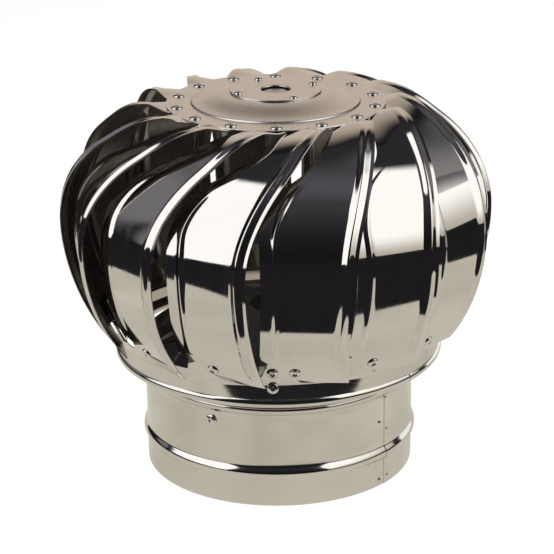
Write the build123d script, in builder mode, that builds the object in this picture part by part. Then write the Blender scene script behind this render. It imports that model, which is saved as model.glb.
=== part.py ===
import math
import os

from build123d import *

os.makedirs("parts", exist_ok=True)

# Sheet metal and small clearances, in millimetres
SHEET = 0.6
SEAT_GAP = 0.15
FIT_GAP = 0.05

# Base collar, a socket over a round duct
NECK_R = 75.0
NECK_H = 72.0
SKIRT_H = 15.0
LOWER_BEAD_W = 8.5
UPPER_BEAD_Z = 55.0
UPPER_BEAD_W = 6.0
BEAD_PROUD = 2.0
NECK_OUT_R = NECK_R + SHEET

# Shaft and its ball bearings
SHAFT_R = 6.0
BEARING_R = 16.0
BEARING_W = 10.0
RACE_R = 9.5
RACE_GAP = 0.5
NUT_AF = 18.0
NUT_H = 8.0
THIN_NUT_H = 2.4
WASHER_R = 12.0
WASHER_H = 1.6
SPACER_STEP = 1.0
SHAFT_TAIL = 4.0
SHAFT_PROUD = 0.3
BEARING_CLEAR = 1.0

# Straps of the base spider and of the head's cross bar
STRAP_W = 14.0
STRAP_T = 2.0
BASE_ARM_COUNT = 3
BAR_ARM_COUNT = 2
BASE_ARM_Z = 38.0
BASE_TAB_TOP_Z = 55.0
BASE_RIVET_Z = 47.5
BASE_ARM_AZ = 241.0
BASE_HUB_R = 11.0
BASE_HUB_H = 14.0
HEAD_ARM_Z = 84.0
BAR_TO_FOOT = 11.4
HEAD_TAB_LOW_Z = 75.0
HEAD_TAB_TOP_Z = 90.0
HUB_WALL = 3.0
HUB_LIP = 1.5
LIP_R = 13.0

# Ball of blades, measured to each blade's outer long edge; its shoulder ends inside the plate's rim
PLATE_R = 60.0
RIM_LAP = 2.0
BLADE_COUNT = 14
PITCH = 360.0 / BLADE_COUNT
FIRST_FOOT_AZ = 5.0 - 90.0
BALL_PROUD = 45.0
BALL_R = NECK_R + BALL_PROUD
BALL_Z = 144.0
SHOULDER_R = BALL_R - PLATE_R + RIM_LAP
FOOT_Z = 87.0
FOOT_DROP = 16.0
BLADE_END_Z = 79.5
LEAD_LOW = 26.6
LEAD_FOOT = 27.8
LEAD_INSET = 14.0
LEAD_TOP = PLATE_R - LEAD_INSET
TRAIL_LOW = -18.6
PETAL_W = 21.0
TRAIL_TOP = LEAD_TOP - PETAL_W
LEAD_SWEEP_DEG = 83.0
TRAIL_FROM_DEG = 16.0
TRAIL_TO_DEG = 86.0
BLADE_TILT = 0.13
PETAL_REACH = 7.0
FLANGE_W = 4.0
RIB_W = 4.5
RIB_H = 1.7
RIB_LEAST = 0.05
FOOT_CUT_DEG = 38.3
FOOT_CUT_GAP = 0.4
FOOT_CUT_H = 50.0
LAP_GAP = 0.6
LAP_CUT_H = 20.0
LAP_CUT_INSET = 12.0
LAP_CUT_OUT = PLATE_R - LAP_CUT_INSET

# Pop rivet heads
RIVET_R = 3.2
RIVET_H = 1.3
RIVET_SIDES = 12
RIVET_TAPER = 38.0

# Bottom ring of the turning head
RING_SLOPE = 0.44
RING_LOW_Z = 73.0
RING_BAND_Z = 83.0
RING_TAB_Z = 92.0
RING_BEAD_R = 3.2
RING_BEAD_DROP = 2.24
RING_BEAD_OUT = 0.32
RING_TO_BLADE = 1.9
TAB_ARC_DEG = 18.0
TAB_SHIFT_DEG = -0.5
BAR_RIVET_Z = (77.6, 86.2)

# Top plate, bearing housing and cover
CROWN_R = 25.5
PLATE_RIVET_INSET = 5.3
PLATE_RIVET_R = PLATE_R - PLATE_RIVET_INSET
PLATE_RIVET_AZ = 0.1 - 90.0
RIM_W = 13.5
DOME_R = PLATE_R - RIM_W
STEP_W = 1.0
STEP_RISE = 1.6
DOME_MID_R = (DOME_R + CROWN_R) / 2
DOME_MID_RISE = 4.3
DOME_RISE = 5.8
PLATE_HOLE_R = 20.0
COVER_R = 25.0
COVER_HOLE_R = 8.0
COVER_T = 0.8
COVER_RIVET_R = 22.4
COVER_RIVET_COUNT = 4
COVER_RIVET_AZ = 25.0
COVER_RIVET_HEAD_R = 2.2
HOUSING_FLANGE_R = 25.0
HOUSING_FLANGE_T = 1.5

LOWER_R = ((BALL_Z - FOOT_Z) ** 2 + FOOT_DROP**2) / (2 * FOOT_DROP)
FOOT_DEG = -math.degrees(math.asin((BALL_Z - FOOT_Z) / LOWER_R))
BLADE_TOP_Z = BALL_Z + SHOULDER_R
PLATE_Z = BLADE_TOP_Z + SHEET / 2 + SEAT_GAP
CROWN_Z = PLATE_Z + DOME_RISE
UPPER_BEARING_Z = CROWN_Z - SEAT_GAP - HOUSING_FLANGE_T - BEARING_W - BEARING_CLEAR
LOWER_BEARING_Z = HEAD_ARM_Z - BEARING_W / 2 + STRAP_T / 2
SHAFT_LOW_Z = BASE_ARM_Z - BASE_HUB_H / 2 - NUT_H - WASHER_H - SHAFT_TAIL
SHAFT_TOP_Z = UPPER_BEARING_Z + BEARING_W + THIN_NUT_H + SHAFT_PROUD
MID = (Align.CENTER, Align.CENTER, Align.CENTER)
UP = (Align.CENTER, Align.CENTER, Align.MIN)


def ease(x):
    """Smooth step from 0 to 1."""
    x = min(max(x, 0.0), 1.0)
    return x * x * (3 - 2 * x)


def blade_edges(angle):
    """Lead and trail edge points of a blade at a profile angle, as out, along and up."""
    rad = math.radians(angle)
    arc_r = SHOULDER_R if angle >= 0 else LOWER_R
    edge_r = BALL_R - arc_r + arc_r * math.cos(rad)
    height = BALL_Z + arc_r * math.sin(rad)
    below = max(angle / FOOT_DEG, 0.0) ** 3
    lead = LEAD_LOW + (LEAD_TOP - LEAD_LOW) * ease(angle / LEAD_SWEEP_DEG)
    lead += (LEAD_FOOT - LEAD_LOW) * below
    sweep = ease((angle - TRAIL_FROM_DEG) / (TRAIL_TO_DEG - TRAIL_FROM_DEG))
    trail = TRAIL_LOW + (TRAIL_TOP - TRAIL_LOW) * sweep
    out = math.sqrt(max(edge_r**2 - lead**2, 1.0))
    return Vector(out, lead, height), Vector(out - BLADE_TILT * (lead - trail), trail, height)


def blade_plane(angle, reach=0.0):
    """Section plane at a profile angle: x across the blade, y outward, origin on the trail edge."""
    lead, trail = blade_edges(angle)
    before = blade_edges(angle + 0.5)
    after = blade_edges(angle - 0.5)
    across = (lead - trail).normalized()
    run = (after[0] + after[1]) - (before[0] + before[1])
    if angle >= 90:
        run = Vector(1, 0, 0)
    run = (run - across * run.dot(across)).normalized()
    return Plane(trail - Vector(reach, 0, 0), x_dir=across, z_dir=run), (lead - trail).length


def ring_r(height):
    """Outside radius of the bottom ring's cone at a height."""
    return RING_FOOT_R + (height - FOOT_Z) * RING_SLOPE


def foot_plane():
    """Plane on the outside of a blade at its foot rivet, with z outward."""
    plane, width = blade_plane(FOOT_DEG)
    lead, trail = blade_edges(FOOT_DEG)
    spot = trail + (lead - trail) * (-trail.Y / (lead.Y - trail.Y))
    return Plane(spot + plane.y_dir * (SHEET / 2 + SEAT_GAP), x_dir=plane.x_dir, z_dir=plane.y_dir)


END_DEG = -math.degrees(math.asin((BALL_Z - BLADE_END_Z) / LOWER_R))
FOOT_PLANE = foot_plane()
RING_FOOT_R = FOOT_PLANE.origin.X - SHEET - RING_TO_BLADE
BAR_AZ = FIRST_FOOT_AZ - math.degrees(BAR_TO_FOOT / ring_r(HEAD_ARM_Z))
BEAD_CENTRE_Z = RING_LOW_Z - RING_BEAD_DROP
BEAD_CENTRE_R = ring_r(BEAD_CENTRE_Z) + RING_BEAD_OUT
RIVET_OUT = math.sqrt(PLATE_RIVET_R**2 - (LEAD_TOP - 2 * RIVET_R) ** 2)
PETAL_END_OUT = RIVET_OUT - PETAL_REACH

# Base collar: plain skirt, hollow lower bead, wall with a small upper bead
with BuildPart() as base_collar:
    with BuildSketch(Plane.XZ) as collar_side:
        with BuildLine():
            Polyline(
                (NECK_R, 0),
                (NECK_OUT_R, 0),
                (NECK_OUT_R, SKIRT_H),
                (NECK_OUT_R + BEAD_PROUD, SKIRT_H + LOWER_BEAD_W / 2),
                (NECK_OUT_R, SKIRT_H + LOWER_BEAD_W),
                (NECK_OUT_R, UPPER_BEAD_Z),
                (NECK_OUT_R + BEAD_PROUD, UPPER_BEAD_Z + UPPER_BEAD_W / 2),
                (NECK_OUT_R, UPPER_BEAD_Z + UPPER_BEAD_W),
                (NECK_OUT_R, NECK_H),
                (NECK_R, NECK_H),
                (NECK_R, SKIRT_H + LOWER_BEAD_W),
                (NECK_R + BEAD_PROUD, SKIRT_H + LOWER_BEAD_W / 2),
                (NECK_R, SKIRT_H),
                close=True,
            )
        make_face()
    revolve(axis=Axis.Z)
base_collar.part.label = "base_collar"
export_step(base_collar.part, "parts/base_collar.step")

# Base spider: hub on the shaft, three straps and a tab against the collar at each end
BASE_TAB_R = math.sqrt(NECK_R**2 - (STRAP_W / 2) ** 2) - SEAT_GAP
with BuildPart() as base_spider:
    with Locations((0, 0, BASE_ARM_Z + STRAP_T / 2)):
        Cylinder(BASE_HUB_R, BASE_HUB_H, align=MID)
    with PolarLocations(0, BASE_ARM_COUNT, BASE_ARM_AZ):
        with Locations((BASE_TAB_R / 2, 0, BASE_ARM_Z)):
            Box(BASE_TAB_R, STRAP_W, STRAP_T, align=UP)
        with Locations((BASE_TAB_R - STRAP_T / 2, 0, BASE_ARM_Z)):
            Box(STRAP_T, STRAP_W, BASE_TAB_TOP_Z - BASE_ARM_Z, align=UP)
    with Locations((0, 0, BASE_ARM_Z + STRAP_T / 2)):
        Cylinder(SHAFT_R + FIT_GAP, 2 * BASE_HUB_H, align=MID, mode=Mode.SUBTRACT)
base_spider.part.label = "base_spider"
export_step(base_spider.part, "parts/base_spider.step")

# Pop rivet heads, many-sided and tapered: a full size one and a small one
with BuildPart() as rivet_form:
    with BuildSketch():
        RegularPolygon(RIVET_R, RIVET_SIDES)
    extrude(amount=RIVET_H, taper=RIVET_TAPER)

with BuildPart() as small_rivet_form:
    with BuildSketch():
        RegularPolygon(COVER_RIVET_HEAD_R, RIVET_SIDES)
    extrude(amount=RIVET_H, taper=RIVET_TAPER)

# Rivet heads of the base spider, on the outside of the collar
with BuildPart() as base_spider_rivets:
    with PolarLocations(0, BASE_ARM_COUNT, BASE_ARM_AZ):
        with Locations(Plane((NECK_OUT_R + FIT_GAP, 0, BASE_RIVET_Z), z_dir=(1, 0, 0))):
            add(rivet_form.part)
base_spider_rivets.part.label = "base_spider_rivets"
export_step(base_spider_rivets.part, "parts/base_spider_rivets.step")

# Shaft
with BuildPart() as shaft:
    with Locations((0, 0, SHAFT_LOW_Z)):
        Cylinder(SHAFT_R, SHAFT_TOP_Z - SHAFT_LOW_Z, align=UP)
shaft.part.label = "shaft"
export_step(shaft.part, "parts/shaft.step")

# Washer and nut under the base hub
HUB_LOW_Z = BASE_ARM_Z + STRAP_T / 2 - BASE_HUB_H / 2
with BuildPart() as shaft_washer:
    with BuildSketch(Plane.XY.offset(HUB_LOW_Z - SEAT_GAP - WASHER_H)):
        Circle(WASHER_R)
        Circle(SHAFT_R + FIT_GAP, mode=Mode.SUBTRACT)
    extrude(amount=WASHER_H)
shaft_washer.part.label = "shaft_washer"
export_step(shaft_washer.part, "parts/shaft_washer.step")

with BuildPart() as shaft_nut:
    with BuildSketch(Plane.XY.offset(HUB_LOW_Z - 2 * SEAT_GAP - WASHER_H - NUT_H)):
        RegularPolygon(NUT_AF / 2, 6, major_radius=False)
        Circle(SHAFT_R + FIT_GAP, mode=Mode.SUBTRACT)
    extrude(amount=NUT_H)
shaft_nut.part.label = "shaft_nut"
export_step(shaft_nut.part, "parts/shaft_nut.step")

# Thin nut above the upper bearing
with BuildPart() as top_nut:
    with BuildSketch(Plane.XY.offset(UPPER_BEARING_Z + BEARING_W + SEAT_GAP)):
        RegularPolygon(NUT_AF / 2, 6, major_radius=False)
        Circle(SHAFT_R + FIT_GAP, mode=Mode.SUBTRACT)
    extrude(amount=THIN_NUT_H)
top_nut.part.label = "top_nut"
export_step(top_nut.part, "parts/top_nut.step")

# Spacer tube that carries the lower bearing's inner ring on the base hub
HUB_TOP_Z = BASE_ARM_Z + STRAP_T / 2 + BASE_HUB_H / 2
with BuildPart() as shaft_spacer:
    with BuildSketch(Plane.XY.offset(HUB_TOP_Z + SEAT_GAP)):
        Circle(RACE_R - SPACER_STEP)
        Circle(SHAFT_R + FIT_GAP, mode=Mode.SUBTRACT)
    extrude(amount=LOWER_BEARING_Z - HUB_TOP_Z - 2 * SEAT_GAP)
shaft_spacer.part.label = "shaft_spacer"
export_step(shaft_spacer.part, "parts/shaft_spacer.step")

# Bearing rings: the inner ones stay with the shaft, the outer ones turn with the head
with BuildPart() as bearing_inner_rings:
    for bearing_z in (LOWER_BEARING_Z, UPPER_BEARING_Z):
        with BuildSketch(Plane.XY.offset(bearing_z)):
            Circle(RACE_R)
            Circle(SHAFT_R + FIT_GAP, mode=Mode.SUBTRACT)
        extrude(amount=BEARING_W)
bearing_inner_rings.part.label = "bearing_inner_rings"
export_step(bearing_inner_rings.part, "parts/bearing_inner_rings.step")

with BuildPart() as bearing_outer_rings:
    for bearing_z in (LOWER_BEARING_Z, UPPER_BEARING_Z):
        with BuildSketch(Plane.XY.offset(bearing_z)):
            Circle(BEARING_R)
            Circle(RACE_R + RACE_GAP, mode=Mode.SUBTRACT)
        extrude(amount=BEARING_W)
bearing_outer_rings.part.label = "bearing_outer_rings"
export_step(bearing_outer_rings.part, "parts/bearing_outer_rings.step")

# Bottom ring: rolled bead, cone band and one upright tab behind each blade foot
with BuildPart() as bottom_ring:
    with BuildSketch(Plane.XZ):
        with BuildLine():
            Polyline(
                (ring_r(RING_LOW_Z) - SHEET, RING_LOW_Z),
                (ring_r(RING_LOW_Z), RING_LOW_Z),
                (ring_r(RING_TAB_Z), RING_TAB_Z),
                (ring_r(RING_TAB_Z) - SHEET, RING_TAB_Z),
                close=True,
            )
        make_face()
        with Locations((BEAD_CENTRE_R, BEAD_CENTRE_Z)):
            RegularPolygon(RING_BEAD_R, 6)
    revolve(axis=Axis.Z)
    with BuildSketch(Plane.XY.offset(RING_BAND_Z)):
        slot_az = FIRST_FOOT_AZ + TAB_SHIFT_DEG + PITCH / 2
        slot_w = 2 * ring_r(RING_BAND_Z) * math.sin(math.radians((PITCH - TAB_ARC_DEG) / 2))
        with PolarLocations(ring_r(RING_TAB_Z), BLADE_COUNT, slot_az):
            Rectangle(BALL_R - NECK_R, slot_w)
    extrude(amount=RING_TAB_Z - RING_BAND_Z + 1, mode=Mode.SUBTRACT)
bottom_ring.part.label = "bottom_ring"
export_step(bottom_ring.part, "parts/bottom_ring.step")

# Cross bar: bearing cup, a strap to each side and sloped tabs inside the ring
CUP_R = BEARING_R + HUB_WALL
TAB_SAG = ring_r(HEAD_TAB_LOW_Z) - math.sqrt(ring_r(HEAD_TAB_LOW_Z) ** 2 - (STRAP_W / 2) ** 2)
TAB_INSET = SHEET + SEAT_GAP + TAB_SAG


def tab_r(height):
    """Outside of a cross bar tab at a height."""
    return ring_r(height) - TAB_INSET


with BuildPart() as cross_bar:
    with Locations((0, 0, LOWER_BEARING_Z - SEAT_GAP - HUB_LIP)):
        Cylinder(CUP_R, BEARING_W + HUB_LIP + SEAT_GAP, align=UP)
    with BuildSketch(Plane.XZ) as strap_side:
        with BuildLine():
            Polyline(
                (0, HEAD_ARM_Z),
                (tab_r(HEAD_ARM_Z) - STRAP_T, HEAD_ARM_Z),
                (tab_r(HEAD_TAB_LOW_Z) - STRAP_T, HEAD_TAB_LOW_Z),
                (tab_r(HEAD_TAB_LOW_Z), HEAD_TAB_LOW_Z),
                (tab_r(HEAD_TAB_TOP_Z), HEAD_TAB_TOP_Z),
                (tab_r(HEAD_TAB_TOP_Z) - STRAP_T, HEAD_TAB_TOP_Z),
                (tab_r(HEAD_ARM_Z + STRAP_T) - STRAP_T, HEAD_ARM_Z + STRAP_T),
                (0, HEAD_ARM_Z + STRAP_T),
                close=True,
            )
        make_face()
    with PolarLocations(0, BAR_ARM_COUNT, BAR_AZ):
        add(extrude(strap_side.sketch, amount=STRAP_W / 2, both=True, mode=Mode.PRIVATE))
    with Locations((0, 0, LOWER_BEARING_Z)):
        Cylinder(BEARING_R + FIT_GAP, BEARING_W * 2, align=UP, mode=Mode.SUBTRACT)
    Cylinder(LIP_R, 2 * BLADE_TOP_Z, align=MID, mode=Mode.SUBTRACT)
cross_bar.part.label = "cross_bar"
export_step(cross_bar.part, "parts/cross_bar.step")

# Rivet heads of the cross bar, on the outside of the ring
with BuildPart() as cross_bar_rivets:
    with PolarLocations(0, BAR_ARM_COUNT, BAR_AZ):
        for rivet_z in BAR_RIVET_Z:
            with Locations(Plane((ring_r(rivet_z) + FIT_GAP, 0, rivet_z), z_dir=(1, 0, -RING_SLOPE))):
                add(rivet_form.part)
cross_bar_rivets.part.label = "cross_bar_rivets"
export_step(cross_bar_rivets.part, "parts/cross_bar_rivets.step")

# One blade: a ribbed strip lofted from the top plate over the shoulder to the foot
STATIONS = [90.0, 82.0, 74.0, 62.0, 48.0, 34.0, 18.0, 0.0, FOOT_DEG / 3, FOOT_DEG * 2 / 3, FOOT_DEG, END_DEG]
RIB_SHARE = [0.0, 0.05, 0.35, 0.85, 1.0, 1.0, 1.0, 1.0, 1.0, 0.9, 0.25, 0.0]


def blade_section(plane, width, rib):
    """Thin ribbed outline across the blade, on its section plane."""
    inner = -SHEET / 2
    outer = SHEET / 2
    rib_end = width - FLANGE_W
    rib_start = rib_end - RIB_W
    rib_mid = rib_end - RIB_W / 2
    with BuildSketch(plane) as outline:
        with BuildLine():
            Polyline(
                (0, inner),
                (rib_start, inner),
                (rib_mid, inner + rib),
                (rib_end, inner),
                (width, inner),
                (width, outer),
                (rib_end, outer),
                (rib_mid, outer + rib),
                (rib_start, outer),
                (0, outer),
                close=True,
            )
        make_face()
    return outline.sketch


with BuildPart() as blade_form:
    top_plane, top_width = blade_plane(90.0)
    petal_shift = top_plane.origin.X - PETAL_END_OUT
    end_plane, end_width = blade_plane(90.0, petal_shift)
    sections = [blade_section(end_plane, end_width, RIB_LEAST)]
    for station, share in zip(STATIONS, RIB_SHARE):
        cut_plane, cut_width = blade_plane(station)
        sections.append(blade_section(cut_plane, cut_width, RIB_LEAST + RIB_H * share))
    loft(sections=sections, ruled=True)
    # The foot's trailing corner is cut off along a slant below the rivet
    with BuildSketch(Plane.YZ):
        turn = math.radians(FOOT_CUT_DEG)
        drop = RIVET_R + FOOT_CUT_GAP + FOOT_CUT_H / 2
        with Locations((-drop * math.sin(turn), FOOT_Z - drop * math.cos(turn))):
            Rectangle(2 * FOOT_CUT_H, FOOT_CUT_H, rotation=-FOOT_CUT_DEG)
    extrude(amount=2 * BALL_R, mode=Mode.SUBTRACT)
    # The top's trailing corner stops short of the blade before it
    with BuildSketch(Plane.XY.offset(BLADE_TOP_Z - LAP_CUT_H / 2)):
        with Locations(Location((0, 0, 0), (0, 0, -PITCH))):
            with Locations((0, LEAD_TOP + LAP_GAP)):
                Rectangle(LAP_CUT_OUT, PLATE_R, align=(Align.MIN, Align.MAX))
    extrude(amount=LAP_CUT_H, mode=Mode.SUBTRACT)

for number in range(BLADE_COUNT):
    name = f"blade_{number + 1:02d}"
    with BuildPart() as blade:
        add(blade_form.part.rotate(Axis.Z, FIRST_FOOT_AZ + number * PITCH))
    blade.part.label = name
    export_step(blade.part, f"parts/{name}.step")

# Rivet heads at the blade feet
with BuildPart() as blade_rivets:
    with PolarLocations(0, BLADE_COUNT, FIRST_FOOT_AZ):
        with Locations(FOOT_PLANE):
            add(rivet_form.part)
blade_rivets.part.label = "blade_rivets"
export_step(blade_rivets.part, "parts/blade_rivets.step")

# Top plate: flat rim, step, shallow crown and a hole over the bearing
with BuildPart() as top_plate:
    with BuildSketch(Plane.XZ):
        with BuildLine():
            Polyline(
                (PLATE_R, PLATE_Z),
                (PLATE_R, PLATE_Z + SHEET),
                (DOME_R, PLATE_Z + SHEET),
                (DOME_R - STEP_W, PLATE_Z + SHEET + STEP_RISE),
                (DOME_MID_R, PLATE_Z + SHEET + DOME_MID_RISE),
                (CROWN_R, CROWN_Z + SHEET),
                (PLATE_HOLE_R, CROWN_Z + SHEET),
                (PLATE_HOLE_R, CROWN_Z),
                (CROWN_R, CROWN_Z),
                (DOME_MID_R, PLATE_Z + DOME_MID_RISE),
                (DOME_R - STEP_W - SHEET / 2, PLATE_Z + STEP_RISE),
                (DOME_R - SHEET / 2, PLATE_Z),
                close=True,
            )
        make_face()
    revolve(axis=Axis.Z)
top_plate.part.label = "top_plate"
export_step(top_plate.part, "parts/top_plate.step")

# Rivet heads round the rim of the top plate
with BuildPart() as top_rivets:
    with Locations((0, 0, PLATE_Z + SHEET + FIT_GAP)):
        with PolarLocations(PLATE_RIVET_R, BLADE_COUNT, PLATE_RIVET_AZ):
            add(rivet_form.part)
top_rivets.part.label = "top_rivets"
export_step(top_rivets.part, "parts/top_rivets.step")

# Bearing housing: flanged cup under the crown
with BuildPart() as bearing_housing:
    with BuildSketch(Plane.XZ):
        flange_top = CROWN_Z - SEAT_GAP
        cup_low = UPPER_BEARING_Z - SEAT_GAP - HUB_LIP
        with BuildLine():
            Polyline(
                (LIP_R, cup_low),
                (CUP_R, cup_low),
                (CUP_R, flange_top - HOUSING_FLANGE_T),
                (HOUSING_FLANGE_R, flange_top - HOUSING_FLANGE_T),
                (HOUSING_FLANGE_R, flange_top),
                (BEARING_R + FIT_GAP, flange_top),
                (BEARING_R + FIT_GAP, cup_low + HUB_LIP),
                (LIP_R, cup_low + HUB_LIP),
                close=True,
            )
        make_face()
    revolve(axis=Axis.Z)
bearing_housing.part.label = "bearing_housing"
export_step(bearing_housing.part, "parts/bearing_housing.step")

# Bearing cover: small disc with a hole over the shaft end
COVER_Z = CROWN_Z + SHEET + SEAT_GAP
with BuildPart() as bearing_cover:
    with BuildSketch(Plane.XY.offset(COVER_Z)):
        Circle(COVER_R)
        Circle(COVER_HOLE_R, mode=Mode.SUBTRACT)
    extrude(amount=COVER_T)
bearing_cover.part.label = "bearing_cover"
export_step(bearing_cover.part, "parts/bearing_cover.step")

with BuildPart() as cover_rivets:
    with Locations((0, 0, COVER_Z + COVER_T + FIT_GAP)):
        with PolarLocations(COVER_RIVET_R, COVER_RIVET_COUNT, COVER_RIVET_AZ):
            add(small_rivet_form.part)
cover_rivets.part.label = "cover_rivets"
export_step(cover_rivets.part, "parts/cover_rivets.step")
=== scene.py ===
"""Looks of a turbine roof vent: bright ribbed blades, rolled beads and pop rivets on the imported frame.

Lengths are metres in the frame's own axes: +Z runs up the shaft and the camera looks along +Y.
A bearing is an angle in degrees about the shaft, from the camera's side towards +X.
"""

import logging
import math
from dataclasses import dataclass
from enum import Enum

import bmesh
import bpy
import numpy as np
from mathutils import Matrix, Vector


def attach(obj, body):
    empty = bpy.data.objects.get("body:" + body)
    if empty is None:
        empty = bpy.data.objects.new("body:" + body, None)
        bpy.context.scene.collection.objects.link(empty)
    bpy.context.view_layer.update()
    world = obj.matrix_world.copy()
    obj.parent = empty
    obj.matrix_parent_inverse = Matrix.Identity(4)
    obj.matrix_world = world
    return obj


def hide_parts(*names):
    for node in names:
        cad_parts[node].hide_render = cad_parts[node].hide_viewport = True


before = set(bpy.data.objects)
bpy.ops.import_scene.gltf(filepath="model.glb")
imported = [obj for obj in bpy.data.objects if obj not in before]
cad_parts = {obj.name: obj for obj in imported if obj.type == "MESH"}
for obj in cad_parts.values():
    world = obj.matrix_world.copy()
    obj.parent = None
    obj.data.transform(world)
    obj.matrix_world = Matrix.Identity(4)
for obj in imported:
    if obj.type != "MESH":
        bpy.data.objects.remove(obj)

MM = 0.001
SHEET = 0.6 * MM
SEAT_GAP = 0.15 * MM
FIT_GAP = 0.05 * MM
SHARP_DEG = 32.0
INNER_SHIFT = 10.0

Triple = tuple[float, float, float]
Spots = list[tuple[np.ndarray, np.ndarray]]

log = logging.getLogger("turbine_vent")


class Body(Enum):
    """The frame's bodies that a piece can ride on."""

    BASE = "base"
    HEAD = "rotor"


class Slot(Enum):
    """The record's material slots."""

    COLLAR = "collar"
    RING = "ring"
    BLADES = "blades"
    PLATE = "plate"
    STRAPS = "straps"
    SPINDLE = "spindle"
    BEARING = "bearing"
    RIVETS = "rivets"


class Pattern(Enum):
    """Which coordinates a finish's polishing lines follow."""

    FLAT = "flat"
    OBJECT = "object"


def ease(x: np.ndarray) -> np.ndarray:
    """Smooth step: 3x squared less 2x cubed, held to 0..1."""
    x = np.clip(x, 0.0, 1.0)
    return x * x * (3.0 - 2.0 * x)


def swell(t: np.ndarray) -> np.ndarray:
    """Round bump: cosine squared over -0.5..0.5, and zero outside."""
    return np.where(np.abs(t) < 0.5, np.cos(np.pi * t) ** 2, 0.0)


def roof(t: np.ndarray, ridge: float = 0.16) -> np.ndarray:
    """Roof-shaped bump over -0.5..0.5: a fall along a hyperbola that rounds the ridge, and zero outside."""
    fall = (np.sqrt((2.0 * t) ** 2 + ridge ** 2) - ridge) / (math.sqrt(1.0 + ridge ** 2) - ridge)
    return np.clip(1.0 - fall, 0.0, 1.0) ** 1.12


@dataclass(frozen=True)
class Window:
    """A share that eases in above a low angle and out below a top angle, in degrees.

    Attributes:
        top: Angle above which it is zero.
        top_run: Degrees over which it eases out.
        low: Angle below which it is zero.
        low_run: Degrees over which it eases in.
    """

    top: float
    top_run: float
    low: float
    low_run: float

    def share(self, angle: np.ndarray, low_from: float = 0.0) -> np.ndarray:
        """The share at angles, with the low angle counted from low_from."""
        return ease((self.top - angle) / self.top_run) * ease((angle - low_from - self.low) / self.low_run)


def turned(points: np.ndarray, degrees: float) -> np.ndarray:
    """Points turned about the shaft.

    Args:
        points: Array whose last axis is x, y, z.
        degrees: Turn, counter-clockwise from above.

    Returns:
        The turned points, in the same shape.
    """
    angle = math.radians(degrees)
    spin = np.array([
        [math.cos(angle), -math.sin(angle), 0.0],
        [math.sin(angle), math.cos(angle), 0.0],
        [0.0, 0.0, 1.0],
    ])
    return points @ spin.T


@dataclass
class Form:
    """One closed mesh as whole arrays.

    Attributes:
        points: Places, shape (n, 3).
        quads: Corner numbers of each face, shape (m, 4).
        flat: Unrolled coordinates in metres, shape (n, 2).
    """

    points: np.ndarray
    quads: np.ndarray
    flat: np.ndarray

    @staticmethod
    def joined(forms: list["Form"]) -> "Form":
        """One form from several, with each one's corner numbers moved past those before it."""
        starts = np.cumsum([0] + [len(form.points) for form in forms[:-1]])
        quads = [form.quads + start for form, start in zip(forms, starts)]
        return Form(
            np.concatenate([form.points for form in forms]),
            np.concatenate(quads),
            np.concatenate([form.flat for form in forms]),
        )

    def placed(self, spot: np.ndarray, axes: np.ndarray) -> "Form":
        """A copy whose x, y and z run along the rows of axes, moved to spot."""
        return Form(self.points @ axes + spot, self.quads, self.flat)

    def spun(self, degrees: float) -> "Form":
        """A copy turned about the shaft."""
        return Form(turned(self.points, degrees), self.quads, self.flat)


def grid_quads(rows: int, cols: int, wrap_rows: bool, wrap_cols: bool) -> np.ndarray:
    """Faces of a grid of points numbered row by row.

    Args:
        rows: Number of rows.
        cols: Points in each row.
        wrap_rows: Whether the last row meets the first.
        wrap_cols: Whether each row is a closed loop.

    Returns:
        Corner numbers, shape (m, 4), whose normals point along column direction times row direction.
    """
    row = np.arange(rows if wrap_rows else rows - 1)[:, None]
    col = np.arange(cols if wrap_cols else cols - 1)[None, :]
    next_row = (row + 1) % rows
    next_col = (col + 1) % cols
    corners = [row * cols + col, row * cols + next_col, next_row * cols + next_col, next_row * cols + col]
    return np.stack(corners, axis=-1).reshape(-1, 4)


def ring_form(radius: np.ndarray, height: np.ndarray, bearings: np.ndarray, run: np.ndarray) -> Form:
    """A closed outline carried round the shaft, which may change with the bearing.

    The point at radius r, height z and bearing b is (r sin b, -r cos b, z).

    Args:
        radius: Radius of each outline corner at each bearing, shape (n, columns).
        height: Heights that broadcast to the radius.
        bearings: Degrees of each column, covering one whole turn without its end.
        run: Lengths along the outline that broadcast to the radius.

    Returns:
        The ring as a closed form.
    """
    angle = np.radians(bearings)[None, :]
    level = np.broadcast_to(height, radius.shape)
    points = np.stack([radius * np.sin(angle), -radius * np.cos(angle), level], axis=-1)
    flat = np.stack([np.broadcast_to(run, radius.shape), radius * angle], axis=-1)
    return Form(points.reshape(-1, 3), grid_quads(*radius.shape, True, True), flat.reshape(-1, 2))


def revolved(profile: np.ndarray, bearings: np.ndarray, shift: np.ndarray | None = None) -> Form:
    """A closed profile carried round the shaft, with its radius moved by a shift.

    Args:
        profile: Radius and height of each corner, shape (n, 2), anticlockwise with the radius to the right.
        bearings: Degrees of each column, covering one whole turn without its end.
        shift: Extra radius, shape (n, columns), or None.

    Returns:
        The ring as a closed form.
    """
    radius = np.repeat(profile[:, :1], len(bearings), axis=1)
    if shift is not None:
        radius = radius + shift
    return ring_form(radius, profile[:, 1:], bearings, run_along(profile)[:, None])


def run_along(line: np.ndarray) -> np.ndarray:
    """Length along a line of points, from its first one."""
    return np.concatenate([[0.0], np.cumsum(np.linalg.norm(np.diff(line, axis=0), axis=1))])


def sheet_outline(face: np.ndarray, thickness: float) -> np.ndarray:
    """Closed outline of a bent sheet from the line of its outer face.

    The inner line is the outer one moved back along its normal, which lies to the right of its run.

    Args:
        face: Radius and height along the outer face, shape (n, 2), with the metal on its left.
        thickness: Sheet thickness.

    Returns:
        The outline, shape (2n, 2), outer face first.
    """
    run = np.gradient(face, axis=0)
    run /= np.linalg.norm(run, axis=1, keepdims=True)
    inward = np.stack([-run[:, 1], run[:, 0]], axis=1)
    return np.concatenate([face, (face + inward * thickness)[::-1]])


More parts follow.
